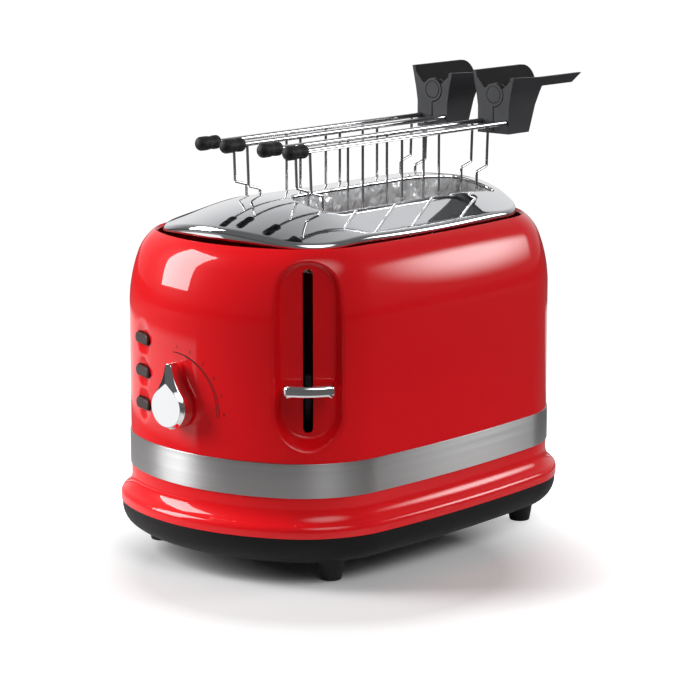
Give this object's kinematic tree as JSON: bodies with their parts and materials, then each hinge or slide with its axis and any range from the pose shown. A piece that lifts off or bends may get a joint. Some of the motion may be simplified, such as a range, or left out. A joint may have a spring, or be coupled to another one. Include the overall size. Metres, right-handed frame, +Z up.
{
  "type": "two-slot toaster",
  "caption": "Two-slot retro toaster with sandwich tongs: bulging red painted body, satin steel waist band, domed bright top plate, corner lever, browning knob and push buttons.",
  "frame": {"origin": "on the table plane, under the middle of the body", "axes": "+X from the control end to the tong handles, +Y to the far long side, +Z up"},
  "size_m": [0.318, 0.1888, 0.263],
  "materials": {
    "red_paint": "gloss",
    "satin_steel": "satin",
    "bright_steel": "polished",
    "bright_wire": "polished",
    "zinc_steel": "satin",
    "black_plastic": "matte",
    "black_rubber": "matte",
    "handle_plastic": "satin",
    "dark_plastic": "matte",
    "dark_satin": "satin",
    "dark_tray": "satin",
    "mica": "matte",
    "heater_alloy": "satin",
    "copper_winding": "satin",
    "green_board": "satin"
  },
  "bodies": {
    "body": {"outer_shell": "red_paint", "trim_band": "satin_steel", "base_pan": "black_plastic", "feet": "black_rubber", "base_screws": "zinc_steel", "cord_gland": "black_rubber", "top_plate": "bright_steel", "near_slot_liner": "bright_steel", "far_slot_liner": "bright_steel", "front_end_plate": "zinc_steel", "rear_end_plate": "zinc_steel", "near_heater_card": "mica", "centre_heater_card": "mica", "far_heater_card": "mica", "near_heater_ribbon": "heater_alloy", "centre_heater_ribbons": "heater_alloy", "far_heater_ribbon": "heater_alloy", "bread_guards": "bright_wire", "guide_rod": "bright_wire", "lift_spring": "bright_wire", "magnet_core": "zinc_steel", "magnet_coil": "copper_winding", "control_board": "green_board", "board_posts": "zinc_steel", "browning_dial_pot": "dark_plastic", "button_switches": "dark_plastic"},
    "carriage": {"carriage_bracket": "zinc_steel", "lever_stem": "black_plastic", "lever_handle": "bright_steel", "near_bread_rack": "zinc_steel", "far_bread_rack": "zinc_steel", "latch_plate": "zinc_steel"},
    "crumb_tray": {"crumb_tray": "dark_tray"},
    "knob": {"browning_knob": "bright_steel", "knob_shaft": "zinc_steel"},
    "cancel": {"cancel_button": "dark_satin"},
    "reheat": {"reheat_button": "dark_satin"},
    "defrost": {"defrost_button": "dark_satin"},
    "near_tong": {"near_tong_pin": "handle_plastic", "near_tong_spring": "bright_wire"},
    "near_tong_left": {"near_tong_left_grip": "handle_plastic", "near_tong_left_grid": "bright_wire", "near_tong_left_tip": "black_rubber"},
    "near_tong_right": {"near_tong_right_grip": "handle_plastic", "near_tong_right_grid": "bright_wire", "near_tong_right_tip": "black_rubber"},
    "far_tong": {"far_tong_pin": "handle_plastic", "far_tong_spring": "bright_wire"},
    "far_tong_left": {"far_tong_left_grip": "handle_plastic", "far_tong_left_grid": "bright_wire", "far_tong_left_tip": "black_rubber"},
    "far_tong_right": {"far_tong_right_grip": "handle_plastic", "far_tong_right_grid": "bright_wire", "far_tong_right_tip": "black_rubber"}
  },
  "joints": [
    {"name": "carriage_lift", "type": "slide", "parent": "body", "child": "carriage", "axis": [0, 0, 1], "range_m": [-0.003, 0.057], "deforming": ["lift_spring"]},
    {"name": "crumb_tray_slide", "type": "slide", "parent": "body", "child": "crumb_tray", "axis": [1, 0, 0], "range_m": [0, 0.2]},
    {"name": "browning_turn", "type": "hinge", "parent": "body", "child": "knob", "pos_m": [-0.135, 0.007, 0.095], "axis": [1, 0, 0], "range_deg": [-10, 100]},
    {"name": "cancel_press", "type": "slide", "parent": "body", "child": "cancel", "axis": [1, 0, 0], "range_m": [0, 0.0015], "stiffness_N_per_m": 400},
    {"name": "reheat_press", "type": "slide", "parent": "body", "child": "reheat", "axis": [1, 0, 0], "range_m": [0, 0.0015], "stiffness_N_per_m": 400},
    {"name": "defrost_press", "type": "slide", "parent": "body", "child": "defrost", "axis": [1, 0, 0], "range_m": [0, 0.0015], "stiffness_N_per_m": 400},
    {"name": "near_tong_lift_out", "type": "slide", "parent": "carriage", "child": "near_tong", "axis": [0, 0, 1], "range_m": [0, 0.14]},
    {"name": "near_tong_left_open", "type": "hinge", "parent": "near_tong", "child": "near_tong_left", "pos_m": [0.1102, -0.0235, 0.249], "axis": [1, 0, 0], "range_deg": [0, 1.6], "stiffness_Nm_per_rad": 0.4},
    {"name": "near_tong_right_open", "type": "hinge", "parent": "near_tong", "child": "near_tong_right", "pos_m": [0.1102, -0.0235, 0.249], "axis": [1, 0, 0], "range_deg": [-1.6, 0], "stiffness_Nm_per_rad": 0.4},
    {"name": "far_tong_lift_out", "type": "slide", "parent": "carriage", "child": "far_tong", "axis": [0, 0, 1], "range_m": [0, 0.14]},
    {"name": "far_tong_left_open", "type": "hinge", "parent": "far_tong", "child": "far_tong_left", "pos_m": [0.1102, 0.0235, 0.249], "axis": [1, 0, 0], "range_deg": [0, 1.6], "stiffness_Nm_per_rad": 0.4},
    {"name": "far_tong_right_open", "type": "hinge", "parent": "far_tong", "child": "far_tong_right", "pos_m": [0.1102, 0.0235, 0.249], "axis": [1, 0, 0], "range_deg": [-1.6, 0], "stiffness_Nm_per_rad": 0.4}
  ],
  "couplings": [
    {"joint": "near_tong_right_open", "follows": "near_tong_left_open", "ratio": -1},
    {"joint": "far_tong_right_open", "follows": "far_tong_left_open", "ratio": -1}
  ]
}
